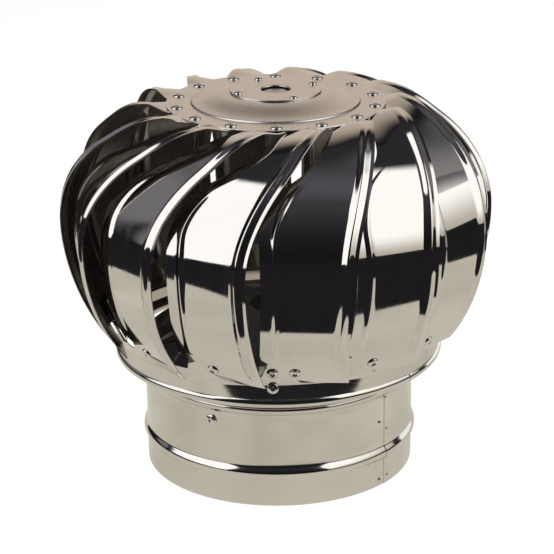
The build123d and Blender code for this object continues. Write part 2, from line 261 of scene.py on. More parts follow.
def thick_sheet(middle: np.ndarray, normal: np.ndarray, thickness: float, flat: np.ndarray) -> Form:
    """A sheet of even thickness about a grid of points, closed along all four edges.

    Each side is the grid moved by half the thickness along the normal. The inner side's unrolled coordinates
    are moved far along, so that a finish can tell it from the outer side.

    Args:
        middle: Grid of the sheet's middle, shape (rows, columns, 3).
        normal: Outward unit normals that broadcast over the grid.
        thickness: Sheet thickness.
        flat: Unrolled coordinates of the grid, shape (rows, columns, 2).

    Returns:
        The closed sheet.
    """
    rows, cols = middle.shape[:2]
    half = normal * (thickness / 2)
    points = np.concatenate([middle + half, (middle - half)[:, ::-1]], axis=1)
    unrolled = np.concatenate([flat, flat[:, ::-1] + np.array([0.0, INNER_SHIFT])], axis=1)
    sides = grid_quads(rows, 2 * cols, False, True)
    near = np.arange(cols - 1)
    far = 2 * cols - 1 - near
    last = (rows - 1) * 2 * cols
    first_cap = np.stack([near, far, far - 1, near + 1], axis=1)
    last_cap = np.stack([near, near + 1, far - 1, far], axis=1) + last
    quads = np.concatenate([sides, first_cap, last_cap])
    return Form(points.reshape(-1, 3), quads, unrolled.reshape(-1, 2))


class NodePad:
    """Small helper that lays out the nodes of one tree."""

    def __init__(self, tree: bpy.types.NodeTree) -> None:
        """Keeps the tree to work on."""
        self.tree = tree

    def add(self, kind: str, values: dict | None = None, **settings: object) -> bpy.types.Node:
        """Adds a node.

        Args:
            kind: Blender's node type.
            values: Input values by socket name or number.
            settings: Attributes of the node.

        Returns:
            The new node.
        """
        node = self.tree.nodes.new(kind)
        for key, value in settings.items():
            setattr(node, key, value)
        for key, value in (values or {}).items():
            node.inputs[key].default_value = value
        return node

    def link(self, source: bpy.types.NodeSocket, target: bpy.types.NodeSocket) -> None:
        """Joins an output to an input."""
        self.tree.links.new(source, target)

    def math(self, operation: str, *terms: object) -> bpy.types.NodeSocket:
        """Adds a Math node whose inputs are sockets or numbers, and returns its output."""
        node = self.add("ShaderNodeMath", operation=operation)
        for socket, value in zip(node.inputs, terms):
            if isinstance(value, bpy.types.NodeSocket):
                self.link(value, socket)
            else:
                socket.default_value = value
        return node.outputs[0]

    def group(self, tree: bpy.types.NodeTree, vector: bpy.types.NodeSocket,
              values: dict) -> bpy.types.NodeSocket:
        """Adds a shared group on a vector, with its number inputs set, and returns its first output."""
        node = self.add("ShaderNodeGroup", node_tree=tree)
        for key, value in values.items():
            node.inputs[key].default_value = value
        self.link(vector, node.inputs["Vector"])
        return node.outputs[0]

    def bump(self, height: bpy.types.NodeSocket, depth: float,
             normal: bpy.types.NodeSocket | None = None) -> bpy.types.NodeSocket:
        """Adds a Bump node on top of a normal, and returns its output."""
        node = self.add("ShaderNodeBump", {"Strength": 1.0, "Distance": depth})
        self.link(height, node.inputs["Height"])
        if normal is not None:
            self.link(normal, node.inputs["Normal"])
        return node.outputs["Normal"]

    def end(self, surface: bpy.types.NodeSocket, kind: str = "ShaderNodeOutputMaterial") -> None:
        """Adds the output node and joins the surface to it."""
        self.link(surface, self.add(kind).inputs["Surface"])

    def ramp(self, value: bpy.types.NodeSocket, low: float, high: float,
             to_low: float = 0.0, to_high: float = 1.0) -> bpy.types.NodeSocket:
        """Adds a smooth Map Range from low..high to to_low..to_high, and returns its output."""
        node = self.add("ShaderNodeMapRange", {1: low, 2: high, 3: to_low, 4: to_high},
                        interpolation_type="SMOOTHSTEP")
        self.link(value, node.inputs[0])
        return node.outputs[0]

    def blend(self, share: bpy.types.NodeSocket, first: object, second: object) -> bpy.types.NodeSocket:
        """Adds a colour Mix between two colours or sockets, and returns its output."""
        node = self.add("ShaderNodeMix", data_type="RGBA")
        self.link(share, node.inputs["Factor"])
        for socket, value in zip([s for s in node.inputs if s.type == "RGBA"], (first, second)):
            if isinstance(value, bpy.types.NodeSocket):
                self.link(value, socket)
            else:
                socket.default_value = (*value, 1.0)
        return [s for s in node.outputs if s.type == "RGBA"][0]

    def noise(self, vector: bpy.types.NodeSocket, scale: float, detail: float) -> bpy.types.NodeSocket:
        """Adds a Noise Texture on a vector, and returns its value."""
        node = self.add("ShaderNodeTexNoise", {"Scale": scale, "Detail": detail})
        self.link(vector, node.inputs["Vector"])
        return node.outputs[0]


def new_material(name: str) -> tuple[bpy.types.Material, NodePad]:
    """Starts an empty material, and returns it with its pad."""
    material = bpy.data.materials.new(name)
    material.use_nodes = True
    material.node_tree.nodes.clear()
    return material, NodePad(material.node_tree)


def new_group(name: str, output: str, inputs: tuple[str, ...]) -> tuple[NodePad, dict, bpy.types.NodeSocket]:
    """Starts a shader node group with a Vector input, further number inputs and one number output.

    Args:
        name: Name of the group.
        output: Name of its output.
        inputs: Names of its number inputs.

    Returns:
        The pad, the group's inputs by name, and its output socket.
    """
    tree = bpy.data.node_groups.new(name, "ShaderNodeTree")
    tree.interface.new_socket("Vector", in_out="INPUT", socket_type="NodeSocketVector")
    for label in inputs:
        tree.interface.new_socket(label, in_out="INPUT", socket_type="NodeSocketFloat")
    tree.interface.new_socket(output, in_out="OUTPUT", socket_type="NodeSocketFloat")
    pad = NodePad(tree)
    start = pad.add("NodeGroupInput")
    end = pad.add("NodeGroupOutput")
    return pad, {s.name: s for s in start.outputs if s.name}, end.inputs[output]


def scaled_vector(pad: NodePad, given: dict) -> bpy.types.NodeSocket:
    """The group's Vector input times its Size input."""
    scaled = pad.add("ShaderNodeVectorMath", operation="SCALE")
    pad.link(given["Vector"], scaled.inputs[0])
    pad.link(given["Size"], scaled.inputs["Scale"])
    return scaled.outputs[0]


def polish_lines_group() -> bpy.types.NodeTree:
    """Straight polishing lines: fine noise drawn out along the first coordinate, in two widths."""
    pad, given, result = new_group("polish_lines", "Lines", ("Along", "Across"))
    squeeze = pad.add("ShaderNodeCombineXYZ", {"Z": 1.0})
    pad.link(given["Along"], squeeze.inputs["X"])
    pad.link(given["Across"], squeeze.inputs["Y"])
    drawn = pad.add("ShaderNodeVectorMath", operation="MULTIPLY")
    pad.link(given["Vector"], drawn.inputs[0])
    pad.link(squeeze.outputs[0], drawn.inputs[1])
    fine = pad.noise(drawn.outputs[0], 1.0, 4.0)
    broad = pad.noise(drawn.outputs[0], 0.17, 2.0)
    both = pad.math("MULTIPLY_ADD", fine, 0.6, pad.math("MULTIPLY", broad, 0.4))
    pad.link(pad.ramp(both, 0.3, 0.7), result)
    return pad.tree


def handling_marks_group() -> bpy.types.NodeTree:
    """Faint smears from handling: patches of cloudy noise, broken up by a finer one."""
    pad, given, result = new_group("handling_marks", "Marks", ("Size",))
    scaled = scaled_vector(pad, given)
    patch = pad.ramp(pad.noise(scaled, 1.0, 3.0), 0.5, 0.75)
    broken = pad.ramp(pad.noise(scaled, 6.0, 5.0), 0.35, 0.7)
    pad.link(pad.math("MULTIPLY", patch, broken), result)
    return pad.tree


def sheet_waves_group() -> bpy.types.NodeTree:
    """Long shallow waves of rolled sheet: two slow noises added."""
    pad, given, result = new_group("sheet_waves", "Height", ("Size",))
    scaled = scaled_vector(pad, given)
    slow = pad.noise(scaled, 1.0, 0.0)
    quick = pad.noise(scaled, 2.7, 1.0)
    pad.link(pad.math("MULTIPLY_ADD", quick, 0.3, slow), result)
    return pad.tree


@dataclass(frozen=True)
class SteelFinish:
    """A bare metal finish: colour, gloss, polishing lines, smears, waviness, and optionally painted shade on
    the inner side.

    Attributes:
        name: Material name.
        colour: Linear colour of the clean metal.
        stain: Linear colour that smears and lines lean to.
        roughness: Roughness of the clean metal.
        line_rough: Roughness that a full polishing line adds.
        mark_rough: Roughness that a full smear adds.
        along: Lines' scale along their run, per metre.
        across: Lines' scale across their run, per metre.
        line_depth: Bump distance of the lines.
        mark_size: Scale of the smears, per metre.
        stain_share: Most of the stain colour that shows.
        line_stain: Share of a smear's stain that a full line has.
        wave_size: Scale of the waves, per metre.
        wave_depth: Bump distance of the waves.
        pattern: Coordinates that the lines follow.
        inner_shade_colour: Painted shade: a darker linear colour on the inner side that stands in for the
            shade inside the ball, or None where both sides match.
        inner_rough: Roughness that the unpolished inner side adds.
    """

    name: str
    colour: Triple
    stain: Triple
    roughness: float
    line_rough: float
    mark_rough: float
    along: float
    across: float
    line_depth: float
    mark_size: float = 22.0
    stain_share: float = 0.25
    line_stain: float = 0.35
    wave_size: float = 14.0
    wave_depth: float = 0.0
    pattern: Pattern = Pattern.OBJECT
    inner_shade_colour: Triple | None = None
    inner_rough: float = 0.0

    def material(self, groups: dict[str, bpy.types.NodeTree]) -> bpy.types.Material:
        """Builds the material.

        Args:
            groups: The shared node groups by name.

        Returns:
            A material with one Principled shader.
        """
        material, pad = new_material(self.name)
        coordinates = pad.add("ShaderNodeTexCoord")
        solid = coordinates.outputs["Object"]
        flat = coordinates.outputs["UV"]
        run = flat if self.pattern is Pattern.FLAT else solid
        lines = pad.group(groups["polish_lines"], run, {"Along": self.along, "Across": self.across})
        marks = pad.group(groups["handling_marks"], solid, {"Size": self.mark_size})
        waves = pad.group(groups["sheet_waves"], solid, {"Size": self.wave_size})

        dirt = pad.math("MULTIPLY_ADD", lines, self.line_stain, marks)
        shade = pad.blend(pad.math("MULTIPLY", dirt, self.stain_share), self.colour, self.stain)
        rough = pad.math("MULTIPLY_ADD", lines, self.line_rough, self.roughness)
        rough = pad.math("MULTIPLY_ADD", marks, self.mark_rough, rough)
        # The inner side's darker colour is painted shade for the shaded inside; its added roughness is real.
        if self.inner_shade_colour is not None:
            split = pad.add("ShaderNodeSeparateXYZ")
            pad.link(flat, split.inputs[0])
            inside = pad.ramp(split.outputs["Y"], 0.4 * INNER_SHIFT, 0.6 * INNER_SHIFT)
            shade = pad.blend(inside, shade, self.inner_shade_colour)
            rough = pad.math("MULTIPLY_ADD", inside, self.inner_rough, rough)

        shader = pad.add("ShaderNodeBsdfPrincipled", {"Metallic": 1.0})
        pad.link(shade, shader.inputs["Base Color"])
        pad.link(rough, shader.inputs["Roughness"])
        normal = pad.bump(waves, self.wave_depth, pad.bump(lines, self.line_depth))
        pad.link(normal, shader.inputs["Normal"])
        pad.end(shader.outputs["BSDF"])
        return material


# The blades' dark inner colour is painted shade for the shaded inside of the ball.
MIRROR_BLADE = SteelFinish(
    "mirror_blade_steel", (0.76, 0.735, 0.705), (0.55, 0.53, 0.50), 0.03, 0.05, 0.05,
    along=9.0, across=900.0, line_depth=0.002 * MM, wave_depth=0.10 * MM, wave_size=16.0,
    pattern=Pattern.FLAT, inner_shade_colour=(0.30, 0.28, 0.255), inner_rough=0.22)
BRIGHT_COLLAR = SteelFinish(
    "bright_collar_steel", (0.76, 0.735, 0.695), (0.56, 0.53, 0.49), 0.06, 0.06, 0.06,
    along=700.0, across=8.0, line_depth=0.002 * MM, wave_depth=0.06 * MM, pattern=Pattern.FLAT)
BRIGHT_RING = SteelFinish(
    "bright_ring_steel", (0.76, 0.735, 0.70), (0.56, 0.53, 0.49), 0.05, 0.05, 0.05,
    along=700.0, across=8.0, line_depth=0.002 * MM, wave_depth=0.03 * MM, pattern=Pattern.FLAT)
SATIN_PLATE = SteelFinish(
    "satin_plate_steel", (0.76, 0.725, 0.69), (0.55, 0.52, 0.49), 0.22, 0.08, 0.06,
    along=600.0, across=8.0, line_depth=0.002 * MM, wave_depth=0.04 * MM, pattern=Pattern.FLAT)
STRAP_STEEL = SteelFinish(
    "mill_strap_steel", (0.56, 0.55, 0.53), (0.33, 0.31, 0.29), 0.32, 0.14, 0.10,
    along=40.0, across=600.0, line_depth=0.02 * MM, stain_share=0.6)
TURNED_STEEL = SteelFinish(
    "turned_spindle_steel", (0.54, 0.53, 0.52), (0.30, 0.28, 0.26), 0.26, 0.16, 0.10,
    along=60.0, across=60.0, line_depth=0.02 * MM, stain_share=0.6)
GROUND_STEEL = SteelFinish(
    "ground_bearing_steel", (0.50, 0.50, 0.50), (0.26, 0.25, 0.24), 0.18, 0.10, 0.12,
    along=300.0, across=300.0, line_depth=0.01 * MM, stain_share=0.5)
RIVET_METAL = SteelFinish(
    "rivet_head_metal", (0.80, 0.785, 0.76), (0.50, 0.48, 0.45), 0.12, 0.10, 0.10,
    along=300.0, across=300.0, line_depth=0.01 * MM, mark_size=160.0)
WELD_METAL = SteelFinish(
    "spot_weld_metal", (0.26, 0.24, 0.22), (0.14, 0.12, 0.11), 0.42, 0.12, 0.10,
    along=900.0, across=900.0, line_depth=0.02 * MM, mark_size=300.0, stain_share=0.6)


class Workshop:
    """Keeps the shared groups and materials, and turns forms into pieces of the object."""

    def __init__(self) -> None:
        """Builds the shared node groups once."""
        self.groups = {
            "polish_lines": polish_lines_group(),
            "handling_marks": handling_marks_group(),
            "sheet_waves": sheet_waves_group(),
        }
        self.materials: dict[str, bpy.types.Material] = {}

    def material(self, finish: SteelFinish) -> bpy.types.Material:
        """The finish's material, built when it is first asked for."""
        if finish.name not in self.materials:
            self.materials[finish.name] = finish.material(self.groups)
        return self.materials[finish.name]

    def piece(self, name: str, form: Form, finish: SteelFinish, body: Body, slot: Slot,
              stands_for: str | None = None) -> bpy.types.Object:
        """Makes a mesh object that rides on a body.

        Args:
            name: Name of the piece.
            form: Its closed mesh.
            finish: Its finish.
            body: Body it rides on.
            slot: Material slot of the record; not used.
            stands_for: CAD node that it replaces, or None.

        Returns:
            The new object.
        """
        mesh = bpy.data.meshes.new(name)
        mesh.from_pydata(form.points, [], form.quads)
        unrolled = mesh.uv_layers.new(name="flat")
        corners = np.empty(len(mesh.loops), dtype=np.int32)
        mesh.loops.foreach_get("vertex_index", corners)
        unrolled.uv.foreach_set("vector", form.flat[corners].astype(np.float32).ravel())
        sealed = bmesh.new()
        sealed.from_mesh(mesh)
        bmesh.ops.remove_doubles(sealed, verts=sealed.verts, dist=1e-4 * MM)
        sealed.to_mesh(mesh)
        sealed.free()
        mesh.shade_smooth()
        mesh.set_sharp_from_angle(angle=math.radians(SHARP_DEG))
        mesh.materials.append(self.material(finish))
        piece = bpy.data.objects.new(name, mesh)
        bpy.context.scene.collection.objects.link(piece)
        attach(piece, body.value)
        if stands_for is not None:
            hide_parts(stands_for)
        log.info("piece %s: %d faces, rides on %s", name, len(mesh.polygons), body.value)
        return piece

    def dress(self, node: str, finish: SteelFinish) -> None:
        """Gives a CAD node that stays in view its finish."""
        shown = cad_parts[node]
        shown.data.materials.clear()
        shown.data.materials.append(self.material(finish))
        log.info("node %s: %s", node, finish.name)


@dataclass(frozen=True)
class RivetHead:
    """A domed pop rivet head with a rolled lip, a pin hole and the stub of its pin."""

    radius: float = 3.15 * MM
    height: float = 1.3 * MM
    rim_share: float = 0.16
    hole_share: float = 0.40
    lip_share: float = 0.14
    lip_z: float = 0.95
    hole_top_z: float = 0.84
    hole_floor_z: float = 0.12
    pin_share: float = 0.24
    pin_foot_z: float = 0.10
    pin_top_z: float = 0.36
    pin_tip_z: float = 0.40
    lean: float = 0.03
    sides: int = 28
    dome_steps: int = 8

    def form(self) -> Form:
        """The head about its own z axis: part of an ellipse from the rim to the hole's lip, then the pin.

        Returns:
            A closed form that stands on z = 0.
        """
        lift = np.linspace(0.0, math.acos(self.hole_share + self.lip_share), self.dome_steps)
        dome_r = np.cos(lift)
        dome_z = self.rim_share + (1.0 - self.rim_share) * np.sin(lift)
        lip = np.array([
            [self.hole_share + 0.04, self.lip_z], [self.hole_share, self.hole_top_z],
            [self.hole_share - self.lean, self.hole_floor_z], [self.pin_share, self.pin_foot_z],
            [self.pin_share - self.lean, self.pin_top_z], [0.0, self.pin_tip_z],
        ])
        foot = np.array([[0.0, 0.0], [1.0, 0.0]])
        profile = np.concatenate([foot, np.stack([dome_r, dome_z], axis=1), lip])
        profile = profile * np.array([self.radius, self.height])
        return revolved(profile, np.arange(self.sides) * 360.0 / self.sides)

    def on(self, spots: Spots) -> Form:
        """Heads standing on several places.

        Args:
            spots: Place and outward direction of each head.

        Returns:
            One form with a head at each spot.
        """
        head = self.form()
        return Form.joined([head.placed(spot, upright_axes(out)) for spot, out in spots])


def upright_axes(out: np.ndarray) -> np.ndarray:
    """Rows x, y and z of a right-handed frame whose z runs along a direction."""
    out = out / np.linalg.norm(out)
    side = np.cross([0.0, 0.0, 1.0], out)
    if np.linalg.norm(side) < 1e-6:
        side = np.array([1.0, 0.0, 0.0])
    side = side / np.linalg.norm(side)
    return np.stack([side, np.cross(out, side), out])


@dataclass(frozen=True)
class Collar:
    """The round neck: a plain skirt, two rolled beads, a lapped seam and its spot welds."""

    inner_r: float = 75.0 * MM
    height: float = 72.0 * MM
    lower_bead_z: float = 15.0 * MM
    lower_bead_w: float = 8.5 * MM
    upper_bead_z: float = 53.0 * MM
    upper_bead_w: float = 7.4 * MM
    bead_proud: float = 2.0 * MM
    bead_power: float = 0.7
    edge: float = 0.12 * MM
    seam_bearing: float = 49.6
    seam_step: float = 0.4 * MM
    seam_fade_deg: float = 16.0
    weld_spots: tuple[tuple[float, float], ...] = (
        (50.0, 52.1), (46.4, 38.7), (50.9, 33.1), (51.6, 4.7), (46.7, 4.0))
    weld_r: float = 0.75 * MM
    weld_h: float = 0.25 * MM
    arm_count: int = 3
    arm_azimuth: float = 241.0
    rivet_z: float = 47.5 * MM

    def outer_r(self) -> float:
        """Radius of the plain wall's outer face."""
        return self.inner_r + SHEET

    def wall(self) -> Form:
        """The wall: the bead is a round bump on a straight line, carried round and lapped at the seam.

        Returns:
            The wall as a closed form.
        """
        beads = [np.linspace(z, z + w, 25) for z, w in
                 ((self.lower_bead_z, self.lower_bead_w), (self.upper_bead_z, self.upper_bead_w))]
        height = np.concatenate([[0.0, self.edge], [self.lower_bead_z * 0.5], beads[0],
                                 np.linspace(beads[0][-1], self.upper_bead_z, 8)[1:-1], beads[1],
                                 [self.height * 0.92, self.height - self.edge, self.height]])
        low = (height - self.lower_bead_z) / self.lower_bead_w - 0.5
        high = (height - self.upper_bead_z) / self.upper_bead_w - 0.5
        proud = self.bead_proud * (swell(low) ** self.bead_power + swell(high) ** self.bead_power)
        face = np.stack([self.outer_r() + proud, height], axis=1)
        face[[0, -1], 0] -= self.edge
        outline = sheet_outline(face, SHEET)
        after_seam = np.concatenate([[0.0, 0.02], np.linspace(0.6, 359.4, 320), [359.98]])
        lap = self.seam_step * np.exp(-after_seam / self.seam_fade_deg)
        lap[[0, -1]] = 0.0
        shift = np.broadcast_to(lap[None, :], (len(outline), len(lap)))
        return revolved(outline, after_seam + self.seam_bearing, shift)

    def welds(self) -> Form:
        """The spot welds: shallow discs that stand on the wall near the seam."""
        spots = []
        reach = self.outer_r() + self.seam_step * 0.9
        for bearing, height in self.weld_spots:
            angle = math.radians(bearing)
            out = np.array([math.sin(angle), -math.cos(angle), 0.0])
            spots.append((out * reach + np.array([0.0, 0.0, height * MM]), out))
        return RivetHead(self.weld_r, self.weld_h, sides=14, dome_steps=4).on(spots)

    def rivet_spots(self) -> Spots:
        """Places of the rivets that hold the base spider."""
        spots = []
        for number in range(self.arm_count):
            out = turned(np.array([1.0, 0.0, 0.0]), self.arm_azimuth + number * 360.0 / self.arm_count)
            spots.append((out * (self.outer_r() + FIT_GAP) + np.array([0.0, 0.0, self.rivet_z]), out))
        return spots

    def build(self, shop: Workshop) -> None:
        """Makes the collar's pieces."""
        shop.piece("beaded_collar", self.wall(), BRIGHT_COLLAR, Body.BASE, Slot.COLLAR, "base_collar")
        shop.piece("collar_spot_welds", self.welds(), WELD_METAL, Body.BASE, Slot.COLLAR)
        shop.piece("collar_rivets", RivetHead().on(self.rivet_spots()), RIVET_METAL, Body.BASE, Slot.RIVETS,
                   "base_spider_rivets")


@dataclass(frozen=True)
class BladeBall:
    """The ball of ribbed blades, each a strip of straight level lines between two long edges.

    Out, along and up are a blade's own axes: out through its foot rivet, along counter-clockwise, up the
    shaft. Windows are in profile degrees, 90 at the top and 0 at the widest place; the ribs' low ends count
    from the blade's end.
    """

    count: int = 14
    first_azimuth: float = -85.0
    ball_r: float = 119.7 * MM
    ball_z: float = 144.0 * MM
    shoulder_r: float = 62.0 * MM
    foot_z: float = 87.0 * MM
    foot_drop: float = 15.7 * MM
    end_z: float = 79.5 * MM
    lead_low: float = 26.6 * MM
    lead_foot: float = 27.8 * MM
    lead_top: float = 46.0 * MM
    trail_low: float = -18.6 * MM
    trail_top: float = 25.0 * MM
    lead_sweep: float = 83.0
    trail_from: float = 16.0
    trail_to: float = 86.0
    tilt: float = 0.13
    petal_end_out: float = 30.7 * MM
    flange_w: float = 1.8 * MM
    rib_w: float = 6.8 * MM
    rib_h: float = 1.75 * MM
    back_rib_inset: float = 5.6 * MM
    back_rib_w: float = 4.4 * MM
    back_rib_h: float = 0.7 * MM
    rib_window: Window = Window(84.0, 26.0, 1.5, 9.0)
    back_rib_window: Window = Window(48.0, 18.0, 8.0, 9.0)
    fin_h: float = 3.5 * MM
    fin_w: float = 17.0 * MM
    fin_window: Window = Window(87.0, 9.0, 50.0, 24.0)
    sway: float = 1.0 * MM
    sway_apart: tuple[tuple[int, float], ...] = ((1, 3.4 * MM), (2, 0.6 * MM), (13, 2.0 * MM), (14, 0.0))
    sway_window: Window = Window(85.0, 60.0, -22.0, 24.0)
    foot_cut_deg: float = 38.3
    foot_cut_drop: float = 3.6 * MM
    lap_gap: float = 0.6 * MM
    lap_from: float = 0.62
    lap_run: float = 0.24
    full_width: float = 26.0 * MM
    dent: float = 0.10 * MM
    dent_window: Window = Window(70.0, 20.0, -26.0, 12.0)
    dent_along: tuple[float, float] = (0.11, 0.06)
    dent_across: tuple[float, float] = (0.075, 0.09)
    dent_slant: float = 0.6
    flat_rows: int = 5
    upper_rows: int = 70
    lower_rows: int = 52
    seed: int = 7

    def pitch(self) -> float:
        """Degrees between blades."""
        return 360.0 / self.count

    def lower_r(self) -> float:
        """Radius of the profile below the widest place, from the drop at the foot."""
        return ((self.ball_z - self.foot_z) ** 2 + self.foot_drop ** 2) / (2.0 * self.foot_drop)

    def profile_deg(self, height: float) -> float:
        """Profile angle below the widest place at a height."""
        return -math.degrees(math.asin((self.ball_z - height) / self.lower_r()))

    def edges(self, angle: np.ndarray, sway: float = 0.0) -> tuple[np.ndarray, np.ndarray]:
        """Long edges of a blade at profile angles.

        The lead edge keeps to an arc about the shoulder above, and to a wider arc below; the trail edge lies
        straight across from it, tilted inward. Sway carries the lead edge on where the ball is wide.

        Args:
            angle: Profile angles in degrees, 90 at the top and 0 at the widest place.
            sway: How far the lead edge is carried on at most.

        Returns:
            Lead and trail points, each of shape (n, 3).
        """
        arc = np.where(angle >= 0, self.shoulder_r, self.lower_r())
        rad = np.radians(angle)
        edge_r = self.ball_r - arc + arc * np.cos(rad)
        height = self.ball_z + arc * np.sin(rad)
        below = np.maximum(angle / self.profile_deg(self.foot_z), 0.0) ** 3
        lead = self.lead_low + (self.lead_top - self.lead_low) * ease(angle / self.lead_sweep)
        lead = lead + (self.lead_foot - self.lead_low) * below
        lead = lead + sway * self.sway_window.share(angle)
        sweep = ease((angle - self.trail_from) / (self.trail_to - self.trail_from))
        trail = self.trail_low + (self.trail_top - self.trail_low) * sweep
        out = np.sqrt(np.maximum(edge_r ** 2 - lead ** 2, MM ** 2))
        lead_line = np.stack([out, lead, height], axis=1)
        trail_line = np.stack([out - self.tilt * (lead - trail), trail, height], axis=1)
        return lead_line, trail_line

    def across(self) -> np.ndarray:
        """Unit direction from the trail edge to the lead edge."""
        line = np.array([self.tilt, 1.0, 0.0])
        return line / np.linalg.norm(line)

    def normals(self, angle: np.ndarray) -> np.ndarray:
        """Outward unit normals: the run down the blade crossed with the line across it."""
        run = self.edges(angle - 0.5)[0] - self.edges(angle + 0.5)[0]
        run = np.where(angle[:, None] >= 90.0, np.array([1.0, 0.0, 0.0]), run)
        normal = np.cross(run, self.across())
        return normal / np.linalg.norm(normal, axis=1, keepdims=True)

    def trail_limit(self, lead: np.ndarray, trail: np.ndarray) -> np.ndarray:
        """Where each line across stops: at the trail edge, the foot's slant cut or the blade before it."""
        turn = math.radians(self.foot_cut_deg)
        cut_along = -self.foot_cut_drop * math.sin(turn)
        cut_up = self.foot_z - self.foot_cut_drop * math.cos(turn)
        foot = cut_along - (lead[:, 2] - cut_up) / math.tan(turn)
        step = math.radians(self.pitch())
        base_out = lead[:, 0] - self.tilt * lead[:, 1]
        lap = self.lead_top + self.lap_gap - base_out * math.sin(step)
        lap = lap / (math.cos(step) + self.tilt * math.sin(step))
        near_top = ease(((lead[:, 2] - self.ball_z) / self.shoulder_r - self.lap_from) / self.lap_run)
        lap = trail[:, 1] + np.maximum(lap - trail[:, 1], 0.0) * near_top
        return np.maximum(foot, lap)

    def blade(self, phase: np.ndarray, sway: float) -> Form:
        """One blade in its own axes.

        A point is the lead edge moved back by x along the line across, and lifted along the normal by two
        roof-shaped ribs in x, by a flare of the lead edge near the top that dies away as a bell curve in x,
        and by a slow dent, a product of sines.

        Args:
            phase: Three phases of the dent, in turns.
            sway: How far its lead edge is carried on.

        Returns:
            The blade as a closed sheet.
        """
        end = self.profile_deg(self.end_z)
        angle = np.concatenate([np.full(self.flat_rows, 90.0), np.linspace(90.0, 0.0, self.upper_rows)[1:],
                                np.linspace(0.0, end, self.lower_rows)[1:]])
        lead, trail = self.edges(angle, sway)
        lead[:self.flat_rows, 0] -= np.linspace(lead[0, 0] - self.petal_end_out, 0.0, self.flat_rows)
        stop = self.trail_limit(lead, trail)
        width = (lead[:, 1] - stop) * math.hypot(1.0, self.tilt)
        scale = np.minimum(1.0, width / self.full_width)[:, None]
        front = np.concatenate([[0.0, 0.3, 0.6], np.linspace(0.8, 1.0, 3)]) * self.flange_w
        front = np.concatenate([front, self.flange_w + np.linspace(0.0, 1.0, 19)[1:] * self.rib_w])
        back_start = self.back_rib_inset + self.back_rib_w
        back = np.concatenate([back_start - np.linspace(0.0, 1.0, 15) * self.back_rib_w,
                               np.array([0.8, 0.45, 0.0]) * self.back_rib_inset])
        share = np.linspace(0.0, 1.0, 26)[None, 1:-1]
        near = front[-1] * scale
        far = width[:, None] - back_start * scale
        x = np.concatenate([front[None, :] * scale, near + (far - near) * share,
                            width[:, None] - back[None, :] * scale], axis=1)
        rib_at = (self.flange_w + self.rib_w / 2) * scale
        back_at = width[:, None] - (self.back_rib_inset + self.back_rib_w / 2) * scale
        fade = self.rib_window.share(angle, end)[:, None]
        back_fade = self.back_rib_window.share(angle, end)[:, None]
        lift = self.rib_h * fade * roof((x - rib_at) / (self.rib_w * scale))
        lift = lift + self.back_rib_h * back_fade * roof((x - back_at) / (self.back_rib_w * scale))
        run = run_along(lead)[:, None]
        turn = 2 * np.pi
        wave = np.sin(turn * (run / self.dent_along[0] + phase[0]))
        wave = wave * np.sin(turn * (x / self.dent_across[0] + phase[1]))
        slant = np.sin(turn * (run / self.dent_along[1] + x / self.dent_across[1] + phase[2]))
        lift = lift + self.dent * self.dent_window.share(angle)[:, None] * (wave + self.dent_slant * slant)
        lift = lift + self.fin_h * self.fin_window.share(angle)[:, None] * np.exp(-(x / self.fin_w) ** 2)
        normal = self.normals(angle)[:, None, :]
        middle = lead[:, None, :] - x[..., None] * self.across() + normal * lift[..., None]
        flat = np.stack([np.broadcast_to(run, x.shape), x], axis=-1)
        return thick_sheet(middle, normal, SHEET, flat)

    def foot_spot(self) -> tuple[np.ndarray, np.ndarray]:
        """Place and direction of a foot rivet in a blade's own axes."""
        angle = np.array([self.profile_deg(self.foot_z)])
        lead = self.edges(angle)[0][0]
        normal = self.normals(angle)[0]
        spot = lead - self.across() * (lead[1] / self.across()[1])
        return spot + normal * (SHEET / 2 + SEAT_GAP), normal

    def build(self, shop: Workshop) -> None:
        """Makes each blade and the rivets at their feet."""
        chance = np.random.default_rng(self.seed)
        spot, out = self.foot_spot()
        spots = []
        sways = dict(self.sway_apart)
        for number in range(self.count):
            azimuth = self.first_azimuth + number * self.pitch()
            form = self.blade(chance.random(3), sways.get(number + 1, self.sway)).spun(azimuth)
            form.flat = form.flat + np.array([0.5 * number, 0.0])
            shop.piece(f"ribbed_blade_{number + 1:02d}", form, MIRROR_BLADE, Body.HEAD, Slot.BLADES,
                       f"blade_{number + 1:02d}")
            spots.append((turned(spot, azimuth), turned(out, azimuth)))
        shop.piece("foot_rivets", RivetHead().on(spots), RIVET_METAL, Body.HEAD, Slot.RIVETS, "blade_rivets")


